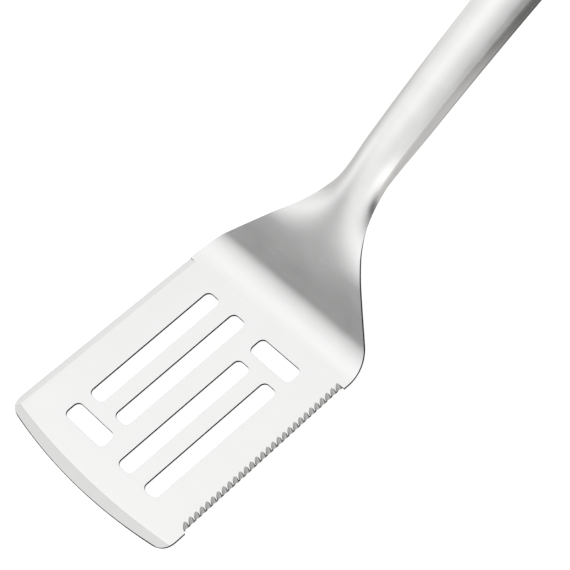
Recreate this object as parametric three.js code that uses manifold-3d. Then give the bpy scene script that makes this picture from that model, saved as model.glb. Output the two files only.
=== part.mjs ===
// Grill spatula with a hollow steel handle. One pressed sheet is the blade, the neck and the upper half of the
// handle. A second pressed shell closes the handle from below, a domed cap closes its tail, and a wire loop
// swings in the cap so that the tool can be hung up.
// Millimetres. +X runs from the blade to the tail, +Y towards the knife edge, +Z up. The origin is on the
// underside of the blade, below the centre of its slot pattern.
import * as THREE from 'three';
import { mergeVertices } from 'three/addons/utils/BufferGeometryUtils.js';
import Module from 'manifold-3d';

const wasm = await Module();
wasm.setup();

// Sheets and fits
const SHEET = 1.0;              // blade, neck and upper half of the handle
const BACK_SHEET = 1.0;         // lower half of the handle
const WELD_GAP = 0.3;           // left between pieces that are welded together
const SPIGOT_CLEARANCE = 0.3;   // between the cap's spigot and the handle's inside
const PIVOT_CLEARANCE = 0.4;    // round the loop's ends in their cross hole, and beside its legs

// Blade outline
const FRONT_REACH = 56.6;       // from the slot pattern's centre to the middle of the front edge
const FRONT_RADIUS = 247;       // of the bowed front edge
const FRONT_HALF_WIDTH = 49.3;
const SHOULDER_HALF_WIDTH = 47.4;
const SHOULDER_X = 45.3;        // the cutting edges end here and the neck begins
const CORNER_REACH = 6.5;       // how far the rounding of a front corner runs along each side

// Slot pattern
const SLOT_WIDTH = 8;
const SLOT_PITCH = 16;          // between two long slots on one side of the middle
const MIDDLE_PITCH = 18;        // between the two long slots beside the middle
const LONG_SLOT = 65.3;
const PATTERN_HALF = 39.3;      // from the centre to the far end of the pattern
const SLOT_CORNER = 2.5;

// Ground edges
const FRONT_GRIND = 4.6;        // width of the front bevel
const KNIFE_GRIND = 3.2;        // width of the bevel along the knife edge
const EDGE_LAND = 0.35;         // thickness left at a ground edge
const SAW_RECESS = 1.3;         // how far the serrated edge stands back from the shoulders
const SAW_START = -40.2;        // front end of the serrated edge
const FLUTE_COUNT = 29;
const FLUTE_RADIUS = 1.6;
const FLUTE_REACH = 2.6;        // how far a flute runs in from the edge
const FLUTE_FLOOR = 0.15;       // metal left under a flute at the edge
const FLUTE_SLANT = 25;         // degrees that a flute leans forwards

// Neck and handle, along the line down the middle of the sheet's upper face. Distances along that line are
// counted from the start of the bend behind the blade.
const BEND_X = 48.3;
const BEND_RADIUS = 21;
const NECK_RISE = 40.4;         // degrees
const NECK_FLAT = 34.8;         // straight stretch after the bend
const EASE_RADIUS = 132;        // eases the neck into the handle
const HANDLE_RISE = 24;         // degrees, where the handle begins
const ARCH_RADIUS = 1140;       // the handle's long arch
const SHOULDER_LEAD = 0.8;      // the shoulders start to round this far ahead of the bend
const SHOULDER_RADIUS = 26.2;
const FLANK_ANGLE = 38.1;       // degrees between the neck's straight flanks and the middle line
const FLARE_RADIUS = 55.5;      // hollow curve where the flanks run into the handle
const CROWN_START = 34.6;       // the flat neck starts to arch here
const THROAT = 74.3;            // the sheet is a full half oval from here on
const ROUND_START = 190;        // the handle widens evenly up to here
const GRIP = 280;               // widest point of the handle
const TAIL = 362;               // end of the handle
const THROAT_WIDTH = 20;
const THROAT_DEPTH = 17;
const GRIP_WIDTH = 26.4;
const GRIP_DEPTH = 20;
const BOW_START = 45.8;         // the back shell starts under the neck here
const BOW_END = 78.5;           // and has its full section from here on

// Tail cap and hanging loop
const CAP_RIM = 1.4;            // straight part of the cap's rim
const CAP_DOME = 1.8;
const SPIGOT_LENGTH = 8;
const LUG_WIDTH = 9;
const LUG_HEIGHT = 9;
const PIVOT_REACH = 8.5;        // from the end of the handle to the cross hole
const WIRE_RADIUS = 1.5;
const WIRE_END_GAP = 3;         // between the loop's two ends inside the cross hole
const WIRE_CORNER = 2.8;
const LOOP_LENGTH = 33;         // from the pivot to the middle of the wire at the far end
const LOOP_HALF_WIDTH = 9;

const steel = (color, roughness) => new THREE.MeshStandardMaterial({ color, roughness, metalness: 1 });
const satinSteel = steel(0xd9d9d7, 0.36);
const shellSteel = steel(0xcfcfcc, 0.38);
const capSteel = steel(0xc9c9c6, 0.33);
const wireSteel = steel(0xc4c4c4, 0.25);

const radians = THREE.MathUtils.degToRad;

// ---- Solids ----

function solidOf(geometry) {
  const bare = geometry.clone();
  bare.deleteAttribute('normal');
  bare.deleteAttribute('uv');
  const merged = mergeVertices(bare, 1e-4);
  const index = merged.index.array;
  const kept = [];
  for (let i = 0; i < index.length; i += 3) {
    const [a, b, c] = [index[i], index[i + 1], index[i + 2]];
    if (a !== b && b !== c && c !== a) kept.push(a, b, c);
  }
  const vertProperties = new Float32Array(merged.attributes.position.array);
  return new wasm.Manifold(new wasm.Mesh({ numProp: 3, vertProperties, triVerts: new Uint32Array(kept) }));
}

function geometryOf(solid) {
  const mesh = solid.getMesh();
  const geometry = new THREE.BufferGeometry();
  geometry.setAttribute('position', new THREE.BufferAttribute(mesh.vertProperties, 3));
  geometry.setIndex(new THREE.BufferAttribute(mesh.triVerts, 1));
  geometry.computeVertexNormals();
  return geometry;
}

// A solid between two skins. Each skin is a list of stations and each station is a row of points. Rows run
// from -Y to +Y, stations run towards +X, and the upper skin lies above the lower one.
function betweenSkins(upper, lower) {
  const rows = upper.length;
  const across = upper[0].length;
  const positions = [];
  for (const skin of [upper, lower]) {
    for (const row of skin) {
      for (const point of row) positions.push(point.x, point.y, point.z);
    }
  }
  const top = (row, i) => row * across + i;
  const under = (row, i) => (rows + row) * across + i;
  const index = [];
  const quad = (a, b, c, d) => index.push(a, b, c, a, c, d);
  for (let row = 0; row < rows - 1; row++) {
    for (let i = 0; i < across - 1; i++) {
      quad(top(row, i), top(row + 1, i), top(row + 1, i + 1), top(row, i + 1));
      quad(under(row, i), under(row, i + 1), under(row + 1, i + 1), under(row + 1, i));
    }
    const last = across - 1;
    quad(top(row, 0), under(row, 0), under(row + 1, 0), top(row + 1, 0));
    quad(top(row, last), top(row + 1, last), under(row + 1, last), under(row, last));
  }
  for (let i = 0; i < across - 1; i++) {
    quad(top(0, i), top(0, i + 1), under(0, i + 1), under(0, i));
    quad(top(rows - 1, i), under(rows - 1, i), under(rows - 1, i + 1), top(rows - 1, i + 1));
  }
  const geometry = new THREE.BufferGeometry();
  geometry.setAttribute('position', new THREE.Float32BufferAttribute(positions, 3));
  geometry.setIndex(index);
  return solidOf(geometry);
}

// ---- Blade ----

// Half the blade's width at x, before its edges are ground.
function bladeHalfWidth(x) {
  const share = (x + FRONT_REACH) / (SHOULDER_X + FRONT_REACH);
  return THREE.MathUtils.lerp(FRONT_HALF_WIDTH, SHOULDER_HALF_WIDTH, share);
}

const frontCentreX = FRONT_RADIUS - FRONT_REACH;
const frontX = (y) => frontCentreX - Math.sqrt(FRONT_RADIUS ** 2 - y ** 2);
const cornerX = frontX(FRONT_HALF_WIDTH);
const overlapX = (SHOULDER_X + BEND_X - SHOULDER_LEAD) / 2;

function slotHole(x, y, length, width) {
  const [left, right] = [x - length / 2, x + length / 2];
  const [low, high] = [y - width / 2, y + width / 2];
  const hole = new THREE.Path();
  hole.moveTo(left + SLOT_CORNER, low);
  hole.lineTo(right - SLOT_CORNER, low);
  hole.absarc(right - SLOT_CORNER, low + SLOT_CORNER, SLOT_CORNER, -Math.PI / 2, 0, false);
  hole.absarc(right - SLOT_CORNER, high - SLOT_CORNER, SLOT_CORNER, 0, Math.PI / 2, false);
  hole.absarc(left + SLOT_CORNER, high - SLOT_CORNER, SLOT_CORNER, Math.PI / 2, Math.PI, false);
  hole.absarc(left + SLOT_CORNER, low + SLOT_CORNER, SLOT_CORNER, Math.PI, Math.PI * 1.5, false);
  hole.closePath();
  return hole;
}

// The pattern looks the same when it is turned half round: two long slots and one short cross slot a side.
function slotHoles() {
  const longShift = PATTERN_HALF - LONG_SLOT / 2;
  const shortShift = PATTERN_HALF - SLOT_WIDTH / 2;
  const shortY = MIDDLE_PITCH / 2 + SLOT_PITCH / 2;
  const holes = [];
  for (const side of [1, -1]) {
    for (const y of [MIDDLE_PITCH / 2, MIDDLE_PITCH / 2 + SLOT_PITCH]) {
      holes.push(slotHole(side * longShift, side * y, LONG_SLOT, SLOT_WIDTH));
    }
    holes.push(slotHole(-side * shortShift, side * shortY, SLOT_WIDTH, SLOT_PITCH + SLOT_WIDTH));
  }
  return holes;
}

function bladePlate() {
  const sawY = (x) => -bladeHalfWidth(x) + SAW_RECESS;
  const cornerHalf = bladeHalfWidth(cornerX);
  const arcHalf = cornerHalf - CORNER_REACH;
  const arcAngle = Math.asin(arcHalf / FRONT_RADIUS);
  const outline = new THREE.Shape();
  outline.moveTo(overlapX, sawY(overlapX));
  outline.lineTo(overlapX, SHOULDER_HALF_WIDTH - SAW_RECESS);
  outline.lineTo(SHOULDER_X, bladeHalfWidth(SHOULDER_X));
  outline.lineTo(cornerX + CORNER_REACH, bladeHalfWidth(cornerX + CORNER_REACH));
  outline.quadraticCurveTo(cornerX, cornerHalf, frontX(arcHalf), arcHalf);
  outline.absarc(frontCentreX, 0, FRONT_RADIUS, Math.PI - arcAngle, Math.PI + arcAngle, false);
  outline.quadraticCurveTo(cornerX, -cornerHalf, cornerX + CORNER_REACH, -bladeHalfWidth(cornerX + CORNER_REACH));
  outline.lineTo(SAW_START - 1, -bladeHalfWidth(SAW_START - 1));
  outline.lineTo(SAW_START, sawY(SAW_START));
  outline.closePath();
  outline.holes = slotHoles();
  return solidOf(new THREE.ExtrudeGeometry(outline, { depth: SHEET, bevelEnabled: false, curveSegments: 6 }));
}

// The metal ground away above a bevel. Each station gives where the bevel starts on the upper face, the
// direction towards the edge, and the bevel's width.
function grinding(stations) {
  const past = 2;
  const slope = (SHEET - EDGE_LAND) / stations[0].width;
  const upper = [];
  const lower = [];
  for (const { start, outward, width } of stations) {
    const reach = width + past;
    const outer = start.clone().addScaledVector(outward, reach);
    upper.push([outer.clone().setZ(SHEET + 1), start.clone().setZ(SHEET + 1)]);
    lower.push([outer.setZ(SHEET - slope * reach), start.clone().setZ(SHEET)]);
  }
  return betweenSkins(upper, lower);
}

function frontGrinding() {
  const spread = Math.asin((FRONT_HALF_WIDTH + 2) / FRONT_RADIUS);
  const steps = 24;
  const stations = [];
  for (let i = 0; i <= steps; i++) {
    const angle = THREE.MathUtils.lerp(spread, -spread, i / steps);
    const outward = new THREE.Vector3(-Math.cos(angle), Math.sin(angle), 0);
    const start = new THREE.Vector3(frontCentreX, 0, SHEET);
    start.addScaledVector(outward, FRONT_RADIUS - FRONT_GRIND);
    stations.push({ start, outward, width: FRONT_GRIND });
  }
  return grinding(stations);
}

function knifeGrinding() {
  const stations = [SHOULDER_X, -FRONT_REACH - 2].map((x) => ({
    start: new THREE.Vector3(x, bladeHalfWidth(x) - KNIFE_GRIND, SHEET),
    outward: new THREE.Vector3(0, 1, 0),
    width: KNIFE_GRIND,
  }));
  return grinding(stations);
}

// The serrated edge: slanted flutes, each cut by a small round stone that runs down and out of the edge.
function sawFlutes() {
  const pitch = (SHOULDER_X - SAW_START) / FLUTE_COUNT;
  const drop = Math.atan2(SHEET - FLUTE_FLOOR, FLUTE_REACH);
  const length = 12;
  const flutes = [];
  for (let i = 0; i < FLUTE_COUNT; i++) {
    const x = SAW_START + pitch * (i + 0.5);
    const edgeY = -bladeHalfWidth(x) + SAW_RECESS;
    const stone = new THREE.CylinderGeometry(FLUTE_RADIUS, FLUTE_RADIUS, length, 10);
    stone.translate(0, 0, FLUTE_RADIUS);
    stone.rotateX(drop);
    stone.rotateZ(-radians(FLUTE_SLANT));
    stone.translate(x, edgeY, FLUTE_FLOOR);
    flutes.push(solidOf(stone));
  }
  return flutes;
}

// ---- Neck and handle ----

const BEND_LENGTH = BEND_RADIUS * radians(NECK_RISE);
const EASE_LENGTH = EASE_RADIUS * radians(NECK_RISE - HANDLE_RISE);

// Point and slope of the middle line at a distance along it: bend up, straight, ease down, long arch.
function middleLine(distance) {
  const stretches = [
    [BEND_LENGTH, 1 / BEND_RADIUS],
    [NECK_FLAT, 0],
    [EASE_LENGTH, -1 / EASE_RADIUS],
    [Infinity, -1 / ARCH_RADIUS],
  ];
  let [x, z, rise] = [BEND_X, SHEET, 0];
  let left = distance;
  if (left <= 0) return { x: x + left, z, rise };
  for (const [length, curvature] of stretches) {
    const run = Math.min(length, left);
    const next = rise + curvature * run;
    if (curvature === 0) {
      x += run * Math.cos(rise);
      z += run * Math.sin(rise);
    } else {
      x += (Math.sin(next) - Math.sin(rise)) / curvature;
      z += (Math.cos(rise) - Math.cos(next)) / curvature;
    }
    rise = next;
    left -= run;
    if (left <= 0) break;
  }
  return { x, z, rise };
}

// A point at a station: y across, n square to the middle line (down is negative).
function place(station, y, n) {
  return new THREE.Vector3(station.x - n * Math.sin(station.rise), y, station.z + n * Math.cos(station.rise));
}

// The handle widens evenly from the throat and then rounds over its widest point, the grip.
function swell(distance, atThroat, atGrip) {
  const even = ROUND_START - THROAT;
  const round = GRIP - ROUND_START;
  const rate = (atGrip - atThroat) / (even + round / 2);
  const d = Math.max(distance - THROAT, 0);
  const past = Math.max(d - even, 0);
  return atThroat + rate * (d - past ** 2 / (2 * round));
}

const handleWidth = (distance) => swell(distance, THROAT_WIDTH, GRIP_WIDTH);
const handleDepth = (distance) => swell(distance, THROAT_DEPTH, GRIP_DEPTH);

// Half width of the sheet: rounded shoulder, straight flank, hollow flare, handle.
function sheetHalfWidth(distance) {
  const angle = radians(FLANK_ANGLE);
  const shoulderEnd = -SHOULDER_LEAD + SHOULDER_RADIUS * Math.sin(angle);
  const shoulderDrop = SHOULDER_RADIUS * (1 - Math.cos(angle));
  const flareRise = FLARE_RADIUS * (1 - Math.cos(angle));
  const flankDrop = SHOULDER_HALF_WIDTH - shoulderDrop - flareRise - THROAT_WIDTH / 2;
  const flankEnd = shoulderEnd + flankDrop / Math.tan(angle);
  const flareEnd = flankEnd + FLARE_RADIUS * Math.sin(angle);
  const growth = (handleWidth(distance) - THROAT_WIDTH) / 2;
  if (distance < -SHOULDER_LEAD) return SHOULDER_HALF_WIDTH;
  if (distance < shoulderEnd) {
    const run = distance + SHOULDER_LEAD;
    return SHOULDER_HALF_WIDTH - SHOULDER_RADIUS + Math.sqrt(SHOULDER_RADIUS ** 2 - run ** 2);
  }
  if (distance < flankEnd) return SHOULDER_HALF_WIDTH - shoulderDrop - (distance - shoulderEnd) * Math.tan(angle);
  if (distance < flareEnd) {
    const run = flareEnd - distance;
    return THROAT_WIDTH / 2 + FLARE_RADIUS - Math.sqrt(FLARE_RADIUS ** 2 - run ** 2) + growth;
  }
  return THROAT_WIDTH / 2 + growth;
}

// Section of the sheet, from the middle to one edge, as points on its upper and lower face. It is flat on the
// neck and turns into a quarter of the handle's oval at the throat.
function sheetSection(distance) {
  const steps = 9;
  const flatTurn = 0.03;
  const half = sheetHalfWidth(distance);
  const crown = THREE.MathUtils.smoothstep(distance, CROWN_START, THROAT);
  const drop = (handleDepth(distance) / 2) * crown;
  const turn = Math.max(crown, flatTurn) * (Math.PI / 2);
  const across = half / Math.sin(turn);
  const down = drop / (1 - Math.cos(turn));
  const points = [];
  for (let i = 0; i <= steps; i++) {
    const t = (turn * i) / steps;
    const along = new THREE.Vector2(across * Math.cos(t), -down * Math.sin(t)).normalize();
    const upper = new THREE.Vector2(across * Math.sin(t), -down * (1 - Math.cos(t)));
    const lower = new THREE.Vector2(upper.x + along.y * SHEET, upper.y - along.x * SHEET);
    points.push({ upper, lower });
  }
  return points;
}

function stationsBetween(start, end, step) {
  const count = Math.max(1, Math.ceil((end - start) / step));
  return Array.from({ length: count }, (_, i) => start + ((end - start) * i) / count);
}

function neckAndUpperHandle() {
  const distances = [
    SHOULDER_X - BEND_X,
    ...stationsBetween(-SHOULDER_LEAD, BEND_LENGTH, 1.9),
    ...stationsBetween(BEND_LENGTH, CROWN_START, 5),
    ...stationsBetween(CROWN_START, BOW_END, 3),
    ...stationsBetween(BOW_END, TAIL, 14),
    TAIL,
  ];
  const upper = [];
  const lower = [];
  for (const distance of distances) {
    const station = middleLine(distance);
    const half = sheetSection(distance);
    const skinRow = (face) => {
      const right = half.slice(1).reverse().map((point) => place(station, -point[face].x, point[face].y));
      const left = half.map((point) => place(station, point[face].x, point[face].y));
      return [...right, ...left];
    };
    upper.push(skinRow('upper'));
    lower.push(skinRow('lower'));
  }
  return betweenSkins(upper, lower);
}

function bladeSheet() {
  let solid = bladePlate();
  solid = solid.subtract(frontGrinding()).subtract(knifeGrinding());
  for (const flute of sawFlutes()) solid = solid.subtract(flute);
  return geometryOf(solid.add(neckAndUpperHandle()));
}

// Height of the sheet's underside at y, on the half section's own scale.
function undersideAt(section, y) {
  for (let i = 1; i < section.length; i++) {
    const [inner, outer] = [section[i - 1].lower, section[i].lower];
    if (y <= outer.x) return THREE.MathUtils.mapLinear(y, inner.x, outer.x, inner.y, outer.y);
  }
  return section[section.length - 1].lower.y;
}

// The back shell's section starts as a narrow bow under the neck and grows to the handle's lower half. It is
// thinned by inset to give its inside, and raise lifts its lid so that the inside is cut out through the rim.
function shellSkins(distances, inset, raise) {
  const steps = 14;
  const upper = [];
  const lower = [];
  for (const distance of distances) {
    const station = middleLine(distance);
    const run = THREE.MathUtils.clamp((BOW_END - distance) / (BOW_END - BOW_START), 0, 1);
    const fullness = Math.sqrt(1 - run ** 2);
    const half = sheetHalfWidth(distance) * fullness;
    const rim = undersideAt(sheetSection(distance), half) - WELD_GAP;
    const deep = (handleDepth(distance) / 2) * fullness - WELD_GAP;
    const lidRow = [];
    const hullRow = [];
    for (let i = 0; i <= steps; i++) {
      const t = -Math.PI / 2 + (Math.PI * i) / steps;
      const y = (half - inset) * Math.sin(t);
      lidRow.push(place(station, y, rim + raise));
      hullRow.push(place(station, y, rim - (deep - inset) * Math.cos(t)));
    }
    upper.push(lidRow);
    lower.push(hullRow);
  }
  return betweenSkins(upper, lower);
}

function handleBackShell() {
  const noseLead = 0.7;
  const insideLead = 2.5;
  const bow = (lead) => stationsBetween(BOW_START + lead, BOW_END, 3);
  const rest = stationsBetween(BOW_END, TAIL, 14);
  const outside = shellSkins([...bow(noseLead), ...rest, TAIL], 0, 0);
  const inside = shellSkins([...bow(insideLead), ...rest, TAIL + 1], BACK_SHEET, 1);
  return geometryOf(outside.subtract(inside));
}

// ---- Tail ----

const tailStation = middleLine(TAIL);
const tailHalfWidth = handleWidth(TAIL) / 2;
const tailHalfDepth = handleDepth(TAIL) / 2;
const tailCentre = place(tailStation, 0, -tailHalfDepth);
const pivot = place(tailStation, 0, -tailHalfDepth);
pivot.x += PIVOT_REACH * Math.cos(tailStation.rise);
pivot.z += PIVOT_REACH * Math.sin(tailStation.rise);

// A round profile turned about the tail's axis and pressed to an oval. Profile points are (radius, along).
function ovalTurning(profile, halfWidth, halfDepth) {
  const turning = new THREE.LatheGeometry(profile, 28);
  turning.rotateZ(-Math.PI / 2);
  turning.scale(1, halfDepth, halfWidth);
  turning.rotateX(Math.PI / 2);
  return solidOf(turning);
}

function tailCap() {
  const rim = [new THREE.Vector2(0, WELD_GAP), new THREE.Vector2(1, WELD_GAP)];
  const domeSteps = 5;
  for (let i = 0; i <= domeSteps; i++) {
    const t = (Math.PI / 2) * (i / domeSteps);
    rim.push(new THREE.Vector2(Math.cos(t), WELD_GAP + CAP_RIM + CAP_DOME * Math.sin(t)));
  }
  rim[rim.length - 1].x = 0;
  const dome = ovalTurning(rim, tailHalfWidth, tailHalfDepth);

  const spigotProfile = [[0, -SPIGOT_LENGTH], [0.94, -SPIGOT_LENGTH], [1, -SPIGOT_LENGTH + 1], [1, 1], [0, 1]];
  const wall = SHEET + SPIGOT_CLEARANCE;
  const spigot = ovalTurning(
    spigotProfile.map(([radius, along]) => new THREE.Vector2(radius, along)),
    tailHalfWidth - wall,
    tailHalfDepth - wall,
  );

  const outline = new THREE.Shape();
  outline.moveTo(WELD_GAP + CAP_RIM, -LUG_HEIGHT / 2 - 1);
  outline.lineTo(PIVOT_REACH, -LUG_HEIGHT / 2);
  outline.absarc(PIVOT_REACH, 0, LUG_HEIGHT / 2, -Math.PI / 2, Math.PI / 2, false);
  outline.lineTo(WELD_GAP + CAP_RIM, LUG_HEIGHT / 2 + 1);
  outline.closePath();
  const crossHole = new THREE.Path();
  crossHole.absarc(PIVOT_REACH, 0, WIRE_RADIUS + PIVOT_CLEARANCE, 0, Math.PI * 2, true);
  outline.holes.push(crossHole);
  const lugGeometry = new THREE.ExtrudeGeometry(outline, { depth: LUG_WIDTH, bevelEnabled: false, curveSegments: 8 });
  lugGeometry.translate(0, 0, -LUG_WIDTH / 2);
  lugGeometry.rotateX(Math.PI / 2);
  return geometryOf(dome.add(spigot).add(solidOf(lugGeometry)));
}

// The loop hangs in the plane across the handle: out of the cross hole, down the two legs and round.
function hangLoop() {
  const legY = LUG_WIDTH / 2 + PIVOT_CLEARANCE + WIRE_RADIUS;
  const turnZ = -(LOOP_LENGTH - LOOP_HALF_WIDTH);
  const round = 0.5523 * LOOP_HALF_WIDTH;
  const at = (y, z) => new THREE.Vector3(0, y, z);
  const path = new THREE.CurvePath();
  path.add(new THREE.LineCurve3(at(WIRE_END_GAP / 2, 0), at(legY - WIRE_CORNER, 0)));
  path.add(new THREE.QuadraticBezierCurve3(at(legY - WIRE_CORNER, 0), at(legY, 0), at(legY, -WIRE_CORNER)));
  path.add(new THREE.CubicBezierCurve3(
    at(legY, -WIRE_CORNER), at(legY, turnZ / 2), at(LOOP_HALF_WIDTH, turnZ / 2), at(LOOP_HALF_WIDTH, turnZ),
  ));
  path.add(new THREE.CubicBezierCurve3(
    at(LOOP_HALF_WIDTH, turnZ), at(LOOP_HALF_WIDTH, turnZ - round), at(round, -LOOP_LENGTH), at(0, -LOOP_LENGTH),
  ));
  const mirrored = path.curves.slice().reverse().map((curve) => {
    const flip = (point) => at(-point.y, point.z);
    if (curve.isLineCurve3) return new THREE.LineCurve3(flip(curve.v2), flip(curve.v1));
    if (curve.isQuadraticBezierCurve3) {
      return new THREE.QuadraticBezierCurve3(flip(curve.v2), flip(curve.v1), flip(curve.v0));
    }
    return new THREE.CubicBezierCurve3(flip(curve.v3), flip(curve.v2), flip(curve.v1), flip(curve.v0));
  });
  for (const curve of mirrored) path.add(curve);
  const wire = new THREE.Shape();
  wire.absarc(0, 0, WIRE_RADIUS, 0, Math.PI * 2, false);
  return new THREE.ExtrudeGeometry(wire, {
    steps: 48,
    extrudePath: path,
    curveSegments: 5,
    bevelEnabled: false,
  });
}

// ---- Assembly ----

function piece(name, geometry, material) {
  const mesh = new THREE.Mesh(geometry, material);
  mesh.name = name;
  return mesh;
}

const spatula = new THREE.Group();
spatula.add(piece('blade_sheet', bladeSheet(), satinSteel));
spatula.add(piece('handle_back_shell', handleBackShell(), shellSteel));

const cap = piece('tail_cap', tailCap(), capSteel);
cap.position.copy(tailCentre);
cap.rotation.y = -tailStation.rise;
spatula.add(cap);

const loop = piece('hang_loop', hangLoop(), wireSteel);
loop.position.copy(pivot);
spatula.add(loop);

export default spatula;
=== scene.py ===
# Grill spatula: a slotted steel blade with a knife edge and a serrated edge, bent up into a hollow handle.
import math

import bmesh
import bpy
import numpy as np
from mathutils import Matrix, Vector


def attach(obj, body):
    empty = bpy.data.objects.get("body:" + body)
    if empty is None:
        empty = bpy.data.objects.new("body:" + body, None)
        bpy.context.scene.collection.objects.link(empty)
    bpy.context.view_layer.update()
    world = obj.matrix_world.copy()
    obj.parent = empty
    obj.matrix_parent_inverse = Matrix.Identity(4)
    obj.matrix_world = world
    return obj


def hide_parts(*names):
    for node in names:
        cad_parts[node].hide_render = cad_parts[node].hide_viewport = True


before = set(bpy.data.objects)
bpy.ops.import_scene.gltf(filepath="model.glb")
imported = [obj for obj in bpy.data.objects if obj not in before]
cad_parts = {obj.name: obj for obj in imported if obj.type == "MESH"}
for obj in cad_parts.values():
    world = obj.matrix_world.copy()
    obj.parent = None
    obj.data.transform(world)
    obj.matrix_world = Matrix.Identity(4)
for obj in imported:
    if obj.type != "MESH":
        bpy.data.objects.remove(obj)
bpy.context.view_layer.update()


# ---- Camera ----
# A long lens looks down on the blade from over its serrated edge. The blade and the front part of the
# handle fill the frame, and the rest of the handle runs out of the top corner.
mm = 0.001
SENSOR_WIDTH, LENS_LENGTH = 36, 150.85
CAMERA_PLACE = (-200.42, -490.60, 798.37)
PICTURE_TURN, CAMERA_TIP, OBJECT_TURN = 17.17, -35.22, 27.85
camera = bpy.data.objects.new("camera", bpy.data.cameras.new("camera"))
bpy.context.scene.collection.objects.link(camera)
camera.data.sensor_width = SENSOR_WIDTH
camera.data.lens = LENS_LENGTH
camera.data.clip_start = 0.05
camera.data.clip_end = 20
turn_of_picture = Matrix.Rotation(math.radians(PICTURE_TURN), 3, "Z")
tip_of_camera = Matrix.Rotation(math.radians(CAMERA_TIP), 3, "X")
turn_of_object = Matrix.Rotation(math.radians(OBJECT_TURN), 3, "Z")
camera.matrix_world = (turn_of_picture @ tip_of_camera @ turn_of_object).transposed().to_4x4()
camera.location = Vector(CAMERA_PLACE) * mm
bpy.context.scene.camera = camera


# ---- Studio ----
# A white paper floor inside a bright white tent. Lamps outside the tent brighten it low behind the serrated
# side and over the knife edge. Screens darken it low in front of the blade and beside the handle.


def add_node(tree, kind, inputs=(), **settings):
    made = tree.nodes.new(kind)
    for name, value in settings.items():
        setattr(made, name, value)
    for key, value in dict(inputs).items():
        value = getattr(value, "socket", value)
        if isinstance(value, bpy.types.NodeSocket):
            tree.links.new(value, made.inputs[key])
        else:
            made.inputs[key].default_value = value
    return made


class Reckoned:
    """A number inside a node tree that sums can be written with, as with a plain number."""

    def __init__(self, tree, socket):
        self.tree, self.socket = tree, socket

    def by(self, operation, *others):
        made = self.tree.nodes.new("ShaderNodeMath")
        made.operation = operation
        for slot, value in zip(made.inputs, (self, *others)):
            if isinstance(value, Reckoned):
                self.tree.links.new(value.socket, slot)
            else:
                slot.default_value = value
        return Reckoned(self.tree, made.outputs[0])

    def __add__(self, other):
        return self.by("ADD", other)

    def __sub__(self, other):
        return self.by("SUBTRACT", other)

    def __mul__(self, other):
        return self.by("MULTIPLY", other)

    def __truediv__(self, other):
        return self.by("DIVIDE", other)

    def __neg__(self):
        return self.by("MULTIPLY", -1.0)

    def __rsub__(self, other):
        return -self + other

    __radd__ = __add__
    __rmul__ = __mul__

    def least(self, other):
        return self.by("MINIMUM", other)

    def most(self, other):
        return self.by("MAXIMUM", other)

    def below(self, other, then, otherwise):
        """Gives then where this number is below the other one, and otherwise elsewhere."""
        share = self.by("LESS_THAN", other)
        return share * then + (1 - share) * otherwise


def smooth_step(value, start, end):
    made = add_node(value.tree, "ShaderNodeMapRange", {"Value": value, "From Min": start, "From Max": end},
                    interpolation_type="SMOOTHSTEP")
    return Reckoned(value.tree, made.outputs["Result"])


def places(tree):
    here = tree.nodes.new("ShaderNodeTexCoord").outputs["Object"]
    apart = add_node(tree, "ShaderNodeSeparateXYZ", {0: here})
    return [Reckoned(tree, apart.outputs[i]) for i in range(3)]


# The tent's own brightness, and the lamps and screens outside it: height and bearing in degrees, how small
# and sharp each one is, and what it adds to the brightness or takes from it.
TENT = 1.1
LAMPS_AND_SCREENS = {
    "lamp, low behind the handle's serrated side": (0, 250, 9.7, 1.7),
    "lamp, over the front corner of the knife edge": (19, 124, 17, 0.77),
    "lamp, high over the knife edge": (70, 113, 12, 0.23),
    "wide screen, low in front of the blade": (-1, 139, 6, -1.5),
    "dark screen, low beside the handle": (11, 274, 10.4, -1.5),
    "grey screen, high beside the handle": (51, 288, 10.4, -0.52),
    "small screen, in front of the neck": (22, 147, 30, -0.08),
}
world = bpy.data.worlds.new("studio")
bpy.context.scene.world = world
world.use_nodes = True
tent = world.node_tree
looking = tent.nodes.new("ShaderNodeTexCoord").outputs["Generated"]
light = TENT
for height, bearing, sharpness, added in LAMPS_AND_SCREENS.values():
    height, bearing = math.radians(height), math.radians(bearing)
    centre = (math.cos(height) * math.cos(bearing), math.cos(height) * math.sin(bearing), math.sin(height))
    toward = add_node(tent, "ShaderNodeVectorMath", {0: looking, 1: centre}, operation="DOT_PRODUCT")
    light = light + ((Reckoned(tent, toward.outputs["Value"]) - 1.0) * sharpness).by("EXPONENT") * added
light = light.most(0.0)
tent.links.new(light.socket, tent.nodes["Background"].inputs["Strength"])
tent.nodes["Background"].inputs["Color"].default_value = (1, 1, 1, 1)
bpy.context.scene.view_settings.view_transform = "Standard"

# The paper glows a little and evenly. Steel's reflections see a painted reflection in its place: a painted
# brightness that differs on the knife edge's side or the serrated side, and near the blade, in the middle or
# far along the handle. Under the blade the painted reflection is a nearly black painted shadow.
FLOOR_HALF, FLOOR_HEIGHT = 6.0, -0.3 * mm
PAPER_COLOUR, PAPER_GLOW, PAINTED_REFLECTION_COLOUR = (0.5, 0.5, 0.5, 1), 0.75, (1.0, 0.98, 0.96, 1)
KNIFE_NEAR, KNIFE_MIDDLE, KNIFE_FAR = 0.67, 0.71, 0.99
SAW_NEAR, SAW_MIDDLE, SAW_FAR = 1.8, 0.65, 0.14
PAINTED_SHADOW_UNDER_BLADE = 0.08
UNDER_FRONT, UNDER_BACK, UNDER_SIDES = (-75 * mm, -60 * mm), (90 * mm, 70 * mm), (65 * mm, 52 * mm)
NEAR_END, MIDDLE_START = 70 * mm, 130 * mm
MIDDLE_END, FAR_START = 170 * mm, 230 * mm
SAW_SIDE_END, KNIFE_SIDE_START = -30 * mm, 50 * mm
floor_mesh = bpy.data.meshes.new("floor")
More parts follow.
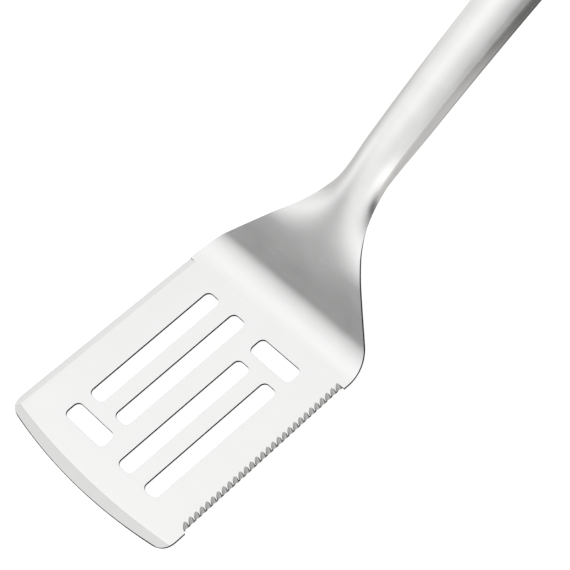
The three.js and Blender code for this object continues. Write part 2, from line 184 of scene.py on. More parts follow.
floor_mesh.from_pydata([
    (-FLOOR_HALF, -FLOOR_HALF, FLOOR_HEIGHT), (FLOOR_HALF, -FLOOR_HALF, FLOOR_HEIGHT),
    (FLOOR_HALF, FLOOR_HALF, FLOOR_HEIGHT), (-FLOOR_HALF, FLOOR_HALF, FLOOR_HEIGHT),
], [], [(0, 1, 2, 3)])
floor = bpy.data.objects.new("floor", floor_mesh)
bpy.context.scene.collection.objects.link(floor)
paper = bpy.data.materials.new("floor_paper_and_painted_reflection")
paper.use_nodes = True
tree = paper.node_tree
tree.nodes.remove(tree.nodes["Principled BSDF"])
x, y, z = places(tree)
near = smooth_step(x, MIDDLE_START, NEAR_END)
middle = smooth_step(x, NEAR_END, MIDDLE_START) * smooth_step(x, FAR_START, MIDDLE_END)
far = smooth_step(x, MIDDLE_END, FAR_START)
knife_side = smooth_step(y, SAW_SIDE_END, KNIFE_SIDE_START)
saw_side = smooth_step(y, KNIFE_SIDE_START, SAW_SIDE_END)
painted_reflection_from_knife_side = near * KNIFE_NEAR + middle * KNIFE_MIDDLE + far * KNIFE_FAR
painted_reflection_from_saw_side = near * SAW_NEAR + middle * SAW_MIDDLE + far * SAW_FAR
painted_reflection = knife_side * painted_reflection_from_knife_side + saw_side * painted_reflection_from_saw_side
painted_shadow_beneath = smooth_step(x, *UNDER_FRONT) * smooth_step(x, *UNDER_BACK)
painted_shadow_beneath = painted_shadow_beneath * smooth_step(-y, *UNDER_SIDES) * smooth_step(y, *UNDER_SIDES)
# Under the blade the painted reflection gives way to a nearly black painted shadow.
painted_reflection = painted_reflection * (1 - painted_shadow_beneath) + painted_shadow_beneath * PAINTED_SHADOW_UNDER_BLADE
white = add_node(tree, "ShaderNodeBsdfDiffuse", {"Color": PAPER_COLOUR})
glow = add_node(tree, "ShaderNodeEmission", {"Strength": PAPER_GLOW})
paper_white = add_node(tree, "ShaderNodeAddShader", {0: white.outputs[0], 1: glow.outputs[0]})
# Glossy rays see the painted reflection. All other rays see the glowing paper.
reflected = add_node(tree, "ShaderNodeEmission", {"Strength": painted_reflection, "Color": PAINTED_REFLECTION_COLOUR})
ray = tree.nodes.new("ShaderNodeLightPath")
mixed = add_node(tree, "ShaderNodeMixShader", {
    0: ray.outputs["Is Glossy Ray"], 1: paper_white.outputs[0], 2: reflected.outputs[0],
})
tree.links.new(mixed.outputs[0], tree.nodes["Material Output"].inputs["Surface"])
floor.data.materials.append(paper)


# ---- Sheet: blade, neck and the handle's upper half ----
# One sheet of 1 mm stainless steel. The blade is sheared out with its slots, ground thin at the front and
# along the knife edge, and fluted along the other edge. The neck is bent up and its tail pressed round.
SHEET = 1.0 * mm
FRONT_REACH, FRONT_RADIUS = 56.6 * mm, 247 * mm
FRONT_HALF_WIDTH, SHOULDER_HALF_WIDTH, SHOULDER_X = 49.3 * mm, 47.4 * mm, 45.3 * mm
CORNER_REACH, CORNER_POINTS, FRONT_POINTS = 6.5 * mm, 15, 60
SAW_START, SAW_RECESS, SAW_RUN_IN = -40.2 * mm, 1.3 * mm, 0.6 * mm
BEND_X, SHOULDER_LEAD = 48.3 * mm, 0.8 * mm


def half_width_at(x):
    share = (x + FRONT_REACH) / (SHOULDER_X + FRONT_REACH)
    return FRONT_HALF_WIDTH + (SHOULDER_HALF_WIDTH - FRONT_HALF_WIDTH) * share


def mesh_object(name, mesh):
    made = bpy.data.objects.new(name, mesh)
    bpy.context.scene.collection.objects.link(made)
    return made


def closed_grid(name, rows):
    """A closed body from rows of points. Each row goes once round the section. The end rows are filled."""
    made = bmesh.new()
    rings = [[made.verts.new(point) for point in row] for row in rows]
    count = len(rows[0])
    for ring, following in zip(rings, rings[1:]):
        for i in range(count):
            k = (i + 1) % count
            made.faces.new((ring[i], ring[k], following[k], following[i]))
    made.faces.new(list(reversed(rings[0])))
    made.faces.new(rings[-1])
    bmesh.ops.recalc_face_normals(made, faces=made.faces)
    mesh = bpy.data.meshes.new(name)
    made.to_mesh(mesh)
    made.free()
    return mesh_object(name, mesh)


def front_x(y):
    return FRONT_RADIUS - FRONT_REACH - math.sqrt(FRONT_RADIUS ** 2 - y ** 2)


def blade_outline():
    corner_x = front_x(FRONT_HALF_WIDTH)
    corner_half = half_width_at(corner_x)
    arc_half = corner_half - CORNER_REACH
    saw_end = (SHOULDER_X + BEND_X - SHOULDER_LEAD) / 2
    left = [(saw_end, SHOULDER_HALF_WIDTH - SAW_RECESS), (SHOULDER_X, SHOULDER_HALF_WIDTH)]
    side = Vector((corner_x + CORNER_REACH, half_width_at(corner_x + CORNER_REACH)))
    point, front = Vector((corner_x, corner_half)), Vector((front_x(arc_half), arc_half))
    corner = []
    for i in range(CORNER_POINTS):
        t = i / (CORNER_POINTS - 1)
        corner.append(tuple(side * (1 - t) ** 2 + point * 2 * t * (1 - t) + front * t ** 2))
    bow = [(front_x(y), y) for y in np.linspace(arc_half, -arc_half, FRONT_POINTS)[1:-1]]
    mirrored = [(x, -y) for x, y in reversed(corner)]
    right = [
        (SAW_START - SAW_RUN_IN, -half_width_at(SAW_START - SAW_RUN_IN)),
        (SAW_START, -half_width_at(SAW_START) + SAW_RECESS),
        (saw_end, -half_width_at(saw_end) + SAW_RECESS),
    ]
    return left + corner + bow + mirrored + right


outline = blade_outline()
blade = closed_grid("blade_blank", [[(x, y, z) for x, y in outline] for z in (0, SHEET)])


# Flat stones grind two bevels on the upper face, and a third one breaks the sharp front edge.
EDGE_LAND = 0.5 * mm
FRONT_LINE, FRONT_LINE_RADIUS, FRONT_BEVEL = 4.9 * mm, 340 * mm, 4.6 * mm
KNIFE_BEVEL, KNIFE_STONE_START = 3.2 * mm, -70 * mm
FRONT_SWEEP, BURR_SWEEP, BURR_LINE = 0.16, 0.22, 0.7 * mm
STONE_REACH, STONE_HEIGHT, STONE_STEPS = 4 * mm, 2 * mm, 49


def grinding(name, line, outward, width):
    """What a flat stone takes off above a bevel that starts along a line and falls outwards."""
    slope = (SHEET - EDGE_LAND) / width
    reach = width + STONE_REACH
    top = SHEET + STONE_HEIGHT
    rows = []
    for (x, y), (ox, oy) in zip(line, outward):
        far = (x + ox * reach, y + oy * reach)
        rows.append([(x, y, SHEET), (*far, SHEET - slope * reach), (*far, top), (x, y, top)])
    return closed_grid(name, rows)


def grinding_along_front(name, radius, set_back, half_angle, width):
    """A stone whose line is an arc, set back from the middle of the blade's front."""
    angles = np.linspace(-half_angle, half_angle, STONE_STEPS)
    line = [(radius - FRONT_REACH + set_back - radius * math.cos(a), radius * math.sin(a)) for a in angles]
    return grinding(name, line, [(-math.cos(a), math.sin(a)) for a in angles], width)


SAME_PLACE = 1e-7


def combine(body, other, operation):
    modifier = body.modifiers.new(operation.lower(), "BOOLEAN")
    modifier.operation = operation
    modifier.solver = "MANIFOLD"
    modifier.object = other
    settle(body)
    bpy.data.objects.remove(other)


def settle(body):
    """Turns what the modifiers make into the body's own plain mesh, and removes them."""
    bpy.context.view_layer.update()
    shaped = body.evaluated_get(bpy.context.evaluated_depsgraph_get())
    mesh = bpy.data.meshes.new_from_object(shaped)
    body.modifiers.clear()
    body.data = mesh


def face_outwards(body):
    loose = bmesh.new()
    loose.from_mesh(body.data)
    bmesh.ops.remove_doubles(loose, verts=loose.verts, dist=SAME_PLACE)
    bmesh.ops.recalc_face_normals(loose, faces=loose.faces)
    loose.to_mesh(body.data)
    loose.free()


front_stone = grinding_along_front("front_stone", FRONT_LINE_RADIUS, FRONT_LINE, FRONT_SWEEP, FRONT_BEVEL)
burr_stone = grinding_along_front("burr_stone", FRONT_RADIUS, BURR_LINE, BURR_SWEEP, EDGE_LAND)
knife_line = [(x, half_width_at(x) - KNIFE_BEVEL) for x in (KNIFE_STONE_START, SHOULDER_X)]
knife_stone = grinding("knife_stone", knife_line, [(0, 1), (0, 1)], KNIFE_BEVEL)
for stone in (front_stone, burr_stone, knife_stone):
    combine(blade, stone, "DIFFERENCE")

SLOT_WIDTH, LONG_SLOT, PATTERN_HALF = 8 * mm, 65.3 * mm, 39.3 * mm
MIDDLE_PITCH, SLOT_PITCH, SLOT_CORNER = 18 * mm, 16 * mm, 2.5 * mm
SLOT_LIP = 0.06 * mm
FLUTE_COUNT, FLUTE_RADIUS, FLUTE_REACH, FLUTE_SLANT = 29, 1.3 * mm, 2.9 * mm, 25
FLUTE_FLOOR, FLUTE_STONE_SIDES, FLUTE_STONE_LENGTH = -0.08 * mm, 24, 14 * mm


class Pressing:
    """A node tree that shapes a body, with a named input for each size."""

    def __init__(self, name, sizes):
        self.tree = bpy.data.node_groups.new(name, "GeometryNodeTree")
        face = self.tree.interface
        face.new_socket("Body", in_out="INPUT", socket_type="NodeSocketGeometry")
        face.new_socket("Body", in_out="OUTPUT", socket_type="NodeSocketGeometry")
        self.sizes = {}
        for size, value in sizes.items():
            kind = "NodeSocketInt" if isinstance(value, int) else "NodeSocketFloat"
            socket = face.new_socket(size, in_out="INPUT", socket_type=kind)
            self.sizes[size] = (socket.identifier, value)
        self.given = self.tree.nodes.new("NodeGroupInput")
        self.body = self.given.outputs["Body"]

    def node(self, kind, inputs=(), **settings):
        return add_node(self.tree, kind, inputs, **settings)

    def __getitem__(self, size):
        return Reckoned(self.tree, self.given.outputs[size])

    def number(self, socket):
        return Reckoned(self.tree, socket)

    def apply(self, body, result, material):
        real = self.node("GeometryNodeRealizeInstances", {0: result})
        painted = self.node("GeometryNodeSetMaterial", {0: real.outputs[0], "Material": material})
        self.tree.links.new(painted.outputs[0], self.tree.nodes.new("NodeGroupOutput").inputs[0])
        modifier = body.modifiers.new(self.tree.name, "NODES")
        modifier.node_group = self.tree
        for identifier, value in self.sizes.values():
            modifier[identifier] = value
        settle(body)


# The blade is brushed across and the handle lengthwise. On the handle the brushing follows the long arch.
ARCH_CENTRE_X, ARCH_CENTRE_Z, ARCH_RADIUS = 583.95 * mm, -992.81 * mm, 1140 * mm
BRIGHT_STEEL, FRONT_STEEL, KNIFE_STEEL = (0.76, 0.76, 0.755), (0.6, 0.6, 0.595), (0.7, 0.7, 0.695)
# The flutes' dark tone and the sheared edges' nearly black tone are partly painted shade.
FLUTE_PAINTED_SHADE_STEEL, SHEARED_PAINTED_SHADE_STEEL = (0.42, 0.418, 0.41), (0.035, 0.034, 0.033)
# Marks are given by their width and by how many times longer they are.
FINE_BRUSHING, BROAD_BRUSHING, SATIN_CLOUD = (0.22 * mm, 60), (0.9 * mm, 30), (9 * mm, 1.6)
FINE_GRINDING, BROAD_GRINDING, GROUND_CLOUD = (0.15 * mm, 40), (0.6 * mm, 20), (9 * mm, 1)
FINE_FLUTING, BROAD_FLUTING, FLUTED_CLOUD = (0.1 * mm, 20), (0.4 * mm, 6), (5 * mm, 1)
FINE_SHEARING, BROAD_SHEARING = (0.12 * mm, 6), (0.5 * mm, 2)
LENGTHWISE_START, LENGTHWISE_FULL = 64 * mm, 96 * mm
CLOUD_RISE_START, CLOUD_RISE_END, CLOUD_RISE = 50 * mm, 62 * mm, 2.5
TORN_TOP, TORN_FULL, TORN_SHADE = 0.62 * mm, 0.5 * mm, -0.8
BROAD_TONE, CLOUD_TONE = 0.6, 0.7
GLOSS, BROAD_GLOSS, CLOUD_GLOSS = 0.06, 0.5, 0.4
MARK_DEPTH, MARK_STRENGTH = 0.0012 * mm, 0.4


def grain(tree, across, along, depth, width, stretch, detail=2.0):
    """Brushing marks of a given width, stretched along one direction. The answer lies round zero."""
    spot = add_node(tree, "ShaderNodeCombineXYZ", {
        0: across / width, 1: along / (width * stretch), 2: depth / width,
    })
    noise = add_node(tree, "ShaderNodeTexNoise", {"Vector": spot.outputs[0], "Scale": 1.0, "Detail": detail})
    return Reckoned(tree, noise.outputs["Fac"]) - 0.5


def height_over_arch(x, z):
    """Height over the line of the handle's long arch, which is below zero under it."""
    x, z = x - ARCH_CENTRE_X, z - ARCH_CENTRE_Z
    return (x * x + z * z).by("SQRT") - ARCH_RADIUS


def finish_steel(material, colour, roughness, fine, broad, cloud, marks=0.035, painted_shade_scale=1.0):
    """Bare steel: fine and broad marks and a faint cloud change its brightness and its gloss a little."""
    tree = material.node_tree
    steel = tree.nodes["Principled BSDF"]
    steel.inputs["Metallic"].default_value = 1.0
    # The last scale darkens the colour. Where it is below 1, that darkening is painted shade.
    shade = (1 + fine * marks + broad * (marks * BROAD_TONE) + cloud * (marks * CLOUD_TONE)) * painted_shade_scale
    tone = add_node(tree, "ShaderNodeVectorMath", {0: colour, "Scale": shade}, operation="SCALE")
    tree.links.new(tone.outputs[0], steel.inputs["Base Color"])
    gloss = roughness + fine * GLOSS + broad * (GLOSS * BROAD_GLOSS) + cloud * (GLOSS * CLOUD_GLOSS)
    tree.links.new(gloss.socket, steel.inputs["Roughness"])
    bump = add_node(tree, "ShaderNodeBump", {
        "Height": fine, "Strength": MARK_STRENGTH, "Distance": MARK_DEPTH,
    })
    tree.links.new(bump.outputs[0], steel.inputs["Normal"])


def steel_named(name):
    made = bpy.data.materials.new(name)
    made.use_nodes = True
    return made


satin_steel = steel_named("satin_sheet_steel")
tree = satin_steel.node_tree
x, y, z = places(tree)
arch_height = height_over_arch(x, z)
lengthwise = smooth_step(x, LENGTHWISE_START, LENGTHWISE_FULL)
stronger_cloud = 1 + smooth_step(x, CLOUD_RISE_START, CLOUD_RISE_END) * CLOUD_RISE


def both_ways(width, stretch):
    over_blade = grain(tree, x, y, z, width, stretch)
    over_handle = grain(tree, y, x, arch_height, width, stretch)
    return over_blade * (1 - lengthwise) + over_handle * lengthwise


finish_steel(satin_steel, BRIGHT_STEEL, 0.25, both_ways(*FINE_BRUSHING), both_ways(*BROAD_BRUSHING),
             grain(tree, x, y, z, *SATIN_CLOUD) * stronger_cloud, marks=0.045)


def ground_steel(name, colour, roughness, marks_run_along_x, fine, broad, cloud, marks):
    """A face that a stone has ground, with its fine and broad marks and its cloud."""
    made = steel_named(name)
    tree = made.node_tree
    x, y, z = places(tree)
    across, along = (y, x) if marks_run_along_x else (x, y)
    finish_steel(made, colour, roughness, grain(tree, across, along, z, *fine),
                 grain(tree, across, along, z, *broad), grain(tree, x, y, z, *cloud), marks=marks)
    return made


ground_front = ground_steel("front_ground_steel", FRONT_STEEL, 0.26, True,
                            FINE_GRINDING, BROAD_GRINDING, GROUND_CLOUD, marks=0.08)
ground_knife = ground_steel("knife_ground_steel", KNIFE_STEEL, 0.26, False,
                            FINE_GRINDING, BROAD_GRINDING, GROUND_CLOUD, marks=0.08)
# The flutes are ground, and their dark tone is painted shade in the hollows.
fluted = ground_steel("flute_ground_painted_shade_steel", FLUTE_PAINTED_SHADE_STEEL, 0.22, False,
                      FINE_FLUTING, BROAD_FLUTING, FLUTED_CLOUD, marks=0.15)

# A sheared edge is rough and dull: a cut band, and a darker torn band below it. Its nearly black tone is
# painted shade, for the shade in the slots and along the sheet's edges.
sheared = steel_named("sheared_edge_painted_shade_steel")
tree = sheared.node_tree
x, y, z = places(tree)
torn = smooth_step(z, TORN_TOP, TORN_FULL)
finish_steel(sheared, SHEARED_PAINTED_SHADE_STEEL, 0.45, grain(tree, x, z, y, *FINE_SHEARING),
             grain(tree, x, z, y, *BROAD_SHEARING), torn * TORN_SHADE, marks=0.3)

# The slots are punched six at a time: two long ones and a short cross slot, and the same turned half round.
punch = Pressing("punch_slots", {
    "Sheet": SHEET, "Lip": SLOT_LIP, "Corner": SLOT_CORNER, "Slot width": SLOT_WIDTH, "Long slot": LONG_SLOT,
    "Pattern half": PATTERN_HALF, "Middle pitch": MIDDLE_PITCH, "Slot pitch": SLOT_PITCH,
})


def punch_for(length, width):
    """A punch with rounded corners that flares at both faces of the sheet, so that the slot gets its lips.

    Its four rings lie above the sheet, at the upper lip, at the lower lip and below the sheet.
    """
    corner_points, quarter = 7, math.pi / 2
    ring_points = 4 * corner_points
    blank = punch.node("GeometryNodeMeshCylinder", {
        "Vertices": ring_points, "Side Segments": 3, "Radius": 1.0, "Depth": 1.0,
    })
    index = punch.number(punch.node("GeometryNodeInputIndex").outputs[0])
    around = index.by("MODULO", ring_points)
    corner = (around / corner_points).by("FLOOR")
    step = around - corner * corner_points
    ring = (index / ring_points).by("FLOOR")
    angle = (corner + step / (corner_points - 1)) * quarter
    facing = (corner + 0.5) * quarter
    height = punch["Sheet"] / 2 + (1.5 - ring) * (punch["Sheet"] - punch["Lip"] * 2)
    flare = ((height - punch["Sheet"] / 2).by("ABSOLUTE") - punch["Sheet"] / 2 + punch["Lip"]).most(0.0)
    reach = punch["Corner"] + flare
    x = facing.by("COSINE").by("SIGN") * (length / 2 - punch["Corner"]) + angle.by("COSINE") * reach
    y = facing.by("SINE").by("SIGN") * (width / 2 - punch["Corner"]) + angle.by("SINE") * reach
    place = punch.node("ShaderNodeCombineXYZ", {0: x, 1: y, 2: height})
    shaped = punch.node("GeometryNodeSetPosition", {0: blank.outputs["Mesh"], "Position": place.outputs[0]})
    return shaped.outputs[0]


def moved(tool, shape, x=0.0, y=0.0, z=0.0, turn=(0, 0, 0)):
    place = tool.node("ShaderNodeCombineXYZ", {0: x, 1: y, 2: z}).outputs[0]
    return tool.node("GeometryNodeTransform", {0: shape, "Translation": place, "Rotation": turn}).outputs[0]


def joined(tool, *shapes):
    together = tool.node("GeometryNodeJoinGeometry")
    for shape in shapes:
        tool.tree.links.new(shape, together.inputs[0])
    return together.outputs[0]


def cut_from(tool, body, cutters):
    cut = tool.node("GeometryNodeMeshBoolean", {"Mesh 1": body}, operation="DIFFERENCE", solver="MANIFOLD")
    for cutter in cutters:
        tool.tree.links.new(cutter, cut.inputs["Mesh 2"])
    return cut.outputs[0]


long_punch = punch_for(punch["Long slot"], punch["Slot width"])
cross_punch = punch_for(punch["Slot width"], punch["Slot pitch"] + punch["Slot width"])
long_shift = punch["Pattern half"] - punch["Long slot"] / 2
middle = punch["Middle pitch"] / 2
cross_shift = punch["Slot width"] / 2 - punch["Pattern half"]
half_pattern = joined(
    punch,
    moved(punch, long_punch, long_shift, middle),
    moved(punch, long_punch, long_shift, middle + punch["Slot pitch"]),
    moved(punch, cross_punch, cross_shift, middle + punch["Slot pitch"] / 2),
)
other_half = moved(punch, half_pattern, turn=(0, 0, math.pi))
punch.apply(blade, cut_from(punch, punch.body, [joined(punch, half_pattern, other_half)]), satin_steel)

# The serrated edge is a row of flutes. A small round stone runs down and out of the edge for each one.
grinder = Pressing("grind_flutes", {
    "Count": FLUTE_COUNT, "Start": SAW_START, "End": SHOULDER_X, "Radius": FLUTE_RADIUS, "Reach": FLUTE_REACH,
    "Floor": FLUTE_FLOOR, "Slant": math.radians(FLUTE_SLANT), "Sheet": SHEET,
    "Edge at start": SAW_RECESS - half_width_at(SAW_START),
    "Edge at end": SAW_RECESS - half_width_at(SHOULDER_X),
})
share = (grinder.number(grinder.node("GeometryNodeInputIndex").outputs[0]) + 0.5) / grinder["Count"]
x = grinder["Start"] + (grinder["End"] - grinder["Start"]) * share
y = grinder["Edge at start"] + (grinder["Edge at end"] - grinder["Edge at start"]) * share
spots = grinder.node("GeometryNodePoints", {
    "Count": grinder["Count"],
    "Position": grinder.node("ShaderNodeCombineXYZ", {0: x, 1: y, 2: grinder["Floor"]}).outputs[0],
})
stone = grinder.node("GeometryNodeMeshCylinder", {
    "Vertices": FLUTE_STONE_SIDES, "Radius": grinder["Radius"], "Depth": FLUTE_STONE_LENGTH,
})
lifted = moved(grinder, stone.outputs["Mesh"], z=grinder["Radius"], turn=(math.pi / 2, 0, 0))
drop = ((grinder["Sheet"] - grinder["Floor"]) / grinder["Reach"]).by("ARCTANGENT")
tilt = grinder.node("ShaderNodeCombineXYZ", {0: drop, 1: 0.0, 2: -grinder["Slant"]}).outputs[0]
stones = grinder.node("GeometryNodeInstanceOnPoints", {
    "Points": spots.outputs[0], "Instance": lifted, "Rotation": tilt,
})
grinder.apply(blade, cut_from(grinder, grinder.body, [stones.outputs[0]]), satin_steel)

# The neck and the handle's upper half are pressed from a flat strip. Distances run along the middle of the
# strip from the start of the bend.
BEND_RADIUS, NECK_RISE, NECK_FLAT = 21 * mm, math.radians(41.89), 8.26 * mm
GENTLE_RADIUS, GENTLE_TURN = 400 * mm, math.radians(5)
EASE_RADIUS, HANDLE_RISE = 128.3 * mm, math.radians(24)
SHOULDER_RADIUS, FLANK_ANGLE, FLARE_RADIUS = 26.2 * mm, math.radians(38.1), 55.5 * mm
CROWN_START, THROAT, ROUND_START, GRIP, TAIL = 32.5 * mm, 74.3 * mm, 190 * mm, 280 * mm, 362 * mm
THROAT_WIDTH, THROAT_DEPTH, GRIP_WIDTH, GRIP_DEPTH = 20 * mm, 17 * mm, 26.4 * mm, 20 * mm
RIM_ROUNDING, PLATE_POINTS, LEAST_CROWN = 0.05 * mm, 33, 0.03
# The strip's stations lie closest together at the shoulders and furthest apart along the handle.
FLANK_END, COARSE_START = 18 * mm, 110 * mm
FINEST, FINE, MEDIUM, COARSE = 0.8 * mm, 1.6 * mm, 2.4 * mm, 5 * mm

press_sizes = {
    "Sheet": SHEET, "Bend start": BEND_X, "Bend radius": BEND_RADIUS, "Neck rise": NECK_RISE,
    "Neck flat": NECK_FLAT, "Gentle radius": GENTLE_RADIUS, "Gentle turn": GENTLE_TURN,
    "Ease radius": EASE_RADIUS, "Handle rise": HANDLE_RISE, "Arch radius": ARCH_RADIUS,
    "Shoulder half width": SHOULDER_HALF_WIDTH, "Shoulder lead": SHOULDER_LEAD,
    "Shoulder radius": SHOULDER_RADIUS,
    "Flank angle": FLANK_ANGLE, "Flare radius": FLARE_RADIUS, "Crown start": CROWN_START, "Throat": THROAT,
    "Round start": ROUND_START, "Grip": GRIP, "Throat width": THROAT_WIDTH, "Throat depth": THROAT_DEPTH,
    "Grip width": GRIP_WIDTH, "Grip depth": GRIP_DEPTH,
}


def middle_line(press, along):
    """The strip's middle as x, z and slope: a bend up, a short flat, two eases down and the long arch."""
    bend_end = press["Bend radius"] * press["Neck rise"]
    gentle_start = bend_end + press["Neck flat"]
    ease_start = gentle_start + press["Gentle radius"] * press["Gentle turn"]
    ease_rise = press["Neck rise"] - press["Gentle turn"]
    arch_start = ease_start + press["Ease radius"] * (ease_rise - press["Handle rise"])
    bent = along.most(0.0).least(bend_end) / press["Bend radius"]
    straight = (along - bend_end).most(0.0).least(press["Neck flat"])
    gently = (along - gentle_start).most(0.0).least(ease_start - gentle_start) / press["Gentle radius"]
    eased = (along - ease_start).most(0.0).least(arch_start - ease_start) / press["Ease radius"]
    arched = (along - arch_start).most(0.0) / press["Arch radius"]
    x = press["Bend start"] + along.least(0.0) + press["Bend radius"] * bent.by("SINE")
    x = x + straight * press["Neck rise"].by("COSINE")
    z = press["Sheet"] + press["Bend radius"] * (1 - bent.by("COSINE"))
    z = z + straight * press["Neck rise"].by("SINE")
    falls = [("Gentle radius", press["Neck rise"], gently), ("Ease radius", ease_rise, eased),
             ("Arch radius", press["Handle rise"], arched)]
    for radius, start, turned in falls:
        x = x + press[radius] * (start.by("SINE") - (start - turned).by("SINE"))
        z = z + press[radius] * ((start - turned).by("COSINE") - start.by("COSINE"))
    return x, z, bent - gently - eased - arched


def swell(press, along, at_throat, at_grip):
    """The handle widens evenly from the throat and then rounds over its widest point, the grip."""
    even = press["Round start"] - press["Throat"]
    rounding = press["Grip"] - press["Round start"]
    run = (along - press["Throat"]).most(0.0)
    past = (run - even).most(0.0)
    return at_throat + (at_grip - at_throat) / (even + rounding / 2) * (run - past * past / (rounding * 2))


def strip_half_width(press, along):
    """Rounded shoulder, straight flank, hollow flare, handle."""
    angle = press["Flank angle"]
    turned = 1 - angle.by("COSINE")
    shoulder_end = press["Shoulder radius"] * angle.by("SINE") - press["Shoulder lead"]
    throat_half = press["Throat width"] / 2
    flank_top = press["Shoulder half width"] - press["Shoulder radius"] * turned
    flank_fall = flank_top - press["Flare radius"] * turned - throat_half
    flank_end = shoulder_end + flank_fall / angle.by("TANGENT")
    flare_end = flank_end + press["Flare radius"] * angle.by("SINE")
    run = along + press["Shoulder lead"]
    shoulder = press["Shoulder half width"] - press["Shoulder radius"] + (
        press["Shoulder radius"] * press["Shoulder radius"] - run * run).by("SQRT")
    flank = flank_top - (along - shoulder_end) * angle.by("TANGENT")
    back = flare_end - along
    flare = throat_half + press["Flare radius"] - (
        press["Flare radius"] * press["Flare radius"] - back * back).by("SQRT")
    growth = (swell(press, along, press["Throat width"], press["Grip width"]) - press["Throat width"]) / 2
    half = along.below(flare_end, flare + growth, throat_half + growth)
    half = along.below(flank_end, flank, half)
    half = along.below(shoulder_end, shoulder, half)
    return run.below(0.0, press["Shoulder half width"], half)


def crowned_section(press, along):
    """How far the strip is turned round at its edges, and the two half axes of the oval that it follows."""
    crown = ((along - press["Crown start"]) / (press["Throat"] - press["Crown start"])).most(0.0).least(1.0)
    crown = crown * crown * (3 - crown * 2)
    depth = swell(press, along, press["Throat depth"], press["Grip depth"])
    turn = crown.most(LEAST_CROWN) * (math.pi / 2)
    across = strip_half_width(press, along) / turn.by("SINE")
    down = depth * crown / 2 / (1 - turn.by("COSINE"))
    return turn, across, down, depth


def set_down(press, x, z, rise, y, square):
    """Moves the body's points to a place on the middle line: y across, square up from the strip."""
    place = press.node("ShaderNodeCombineXYZ", {
        0: x - square * rise.by("SINE"), 1: y, 2: z + square * rise.by("COSINE"),
    })
    return press.node("GeometryNodeSetPosition", {0: press.body, "Position": place.outputs[0]}).outputs[0]


def blank_points(press):
    """A blank's own coordinates: distance along, share across from -1 to 1, and depth below the face."""
    place = press.node("ShaderNodeSeparateXYZ", {0: press.node("GeometryNodeInputPosition").outputs[0]})
    return [press.number(place.outputs[i]) for i in range(3)]


def set_in(press):
    inset = press.node("GeometryNodeInputNamedAttribute", {"Name": "set_in"}, data_type="FLOAT")
    return press.number(inset.outputs[0])


def blank(name, distances, section):
    """A flat blank for a press. The section goes once round: share across, depth and how far it is set in."""
    made = closed_grid(name, [[(s, share, depth) for share, depth, _ in section] for s in distances])
    made.data.attributes.new("set_in", "FLOAT", "POINT").data.foreach_set(
        "value", [inset for _ in distances for _, _, inset in section])
    return made


def stations(*stretches):
    """Distances from one length to the next with about the step given for each stretch."""
    found = []
    for start, end, step in stretches:
        found += list(np.linspace(start, end, max(2, math.ceil((end - start) / step) + 1))[:-1])
    return found + [stretches[-1][1]]


def plate_section(thickness, rounding, count):
    """Once round a plate: over its face, round one edge, back under, round the other."""
    shares = [math.sin(t) for t in np.linspace(-math.pi / 2, math.pi / 2, count)]
    shares = [(share + even) / 2 for share, even in zip(shares, np.linspace(-1, 1, count))]
    angles = np.linspace(0, math.pi / 2, 4)
    edge = [(rounding * (1 - math.sin(a)), rounding * (1 - math.cos(a))) for a in angles]
    top = [(share, 0.0, 0.0) for share in shares[1:-1]]
    down = [(1.0, depth, inset) for inset, depth in edge]
    down += [(1.0, thickness - depth, inset) for inset, depth in reversed(edge)]
    under = [(share, thickness, 0.0) for share in reversed(shares[1:-1])]
    up = [(-share, depth, inset) for share, depth, inset in reversed(down)]
    return top + down + under + up


press = Pressing("press_neck_and_handle", press_sizes)
along, share, depth = blank_points(press)
x, z, rise = middle_line(press, along)
turn, across, down, _ = crowned_section(press, along)
angle = turn * share
side_step, fall = across * angle.by("COSINE"), -down * angle.by("SINE")
length = (side_step * side_step + fall * fall).by("SQRT")
side_step, fall = side_step / length, fall / length
inset = set_in(press) * share.by("SIGN")
y = across * angle.by("SINE") + depth * fall - inset * side_step
square = -down * (1 - angle.by("COSINE")) - depth * side_step - inset * fall
strip_stations = stations(
    (SHOULDER_X - BEND_X, -SHOULDER_LEAD, FINEST), (-SHOULDER_LEAD, FLANK_END, FINEST),
    (FLANK_END, THROAT, FINE), (THROAT, COARSE_START, MEDIUM), (COARSE_START, TAIL, COARSE))
strip_section = plate_section(SHEET, RIM_ROUNDING, PLATE_POINTS)
strip = blank("strip", strip_stations, strip_section)
press.apply(strip, set_down(press, x, z, rise, y, square), satin_steel)
SHEET_FINISHES = (satin_steel, ground_front, ground_knife, fluted, sheared)
SATIN, FRONT, KNIFE, FLUTED, SHEARED = range(5)
for body in (blade, strip):
    body.data.materials.clear()
    for steel in SHEET_FINISHES:
        body.data.materials.append(steel)
# The strip's rims are left as sheared up to the throat, in the nearly black painted shade, and polished with
# the seam beyond it.
POLISHED_START = THROAT + 6 * mm
for row in range(len(strip_stations) - 1):
    for i, point in enumerate(strip_section):
        on_rim = abs(point[0]) == 1 and abs(strip_section[(i + 1) % len(strip_section)][0]) == 1
        if on_rim and strip_stations[row] < POLISHED_START:
            strip.data.polygons[row * len(strip_section) + i].material_index = SHEARED
face_outwards(strip)
combine(blade, strip, "UNION")
face_outwards(blade)
sheet = blade
sheet.name = "turner_sheet"
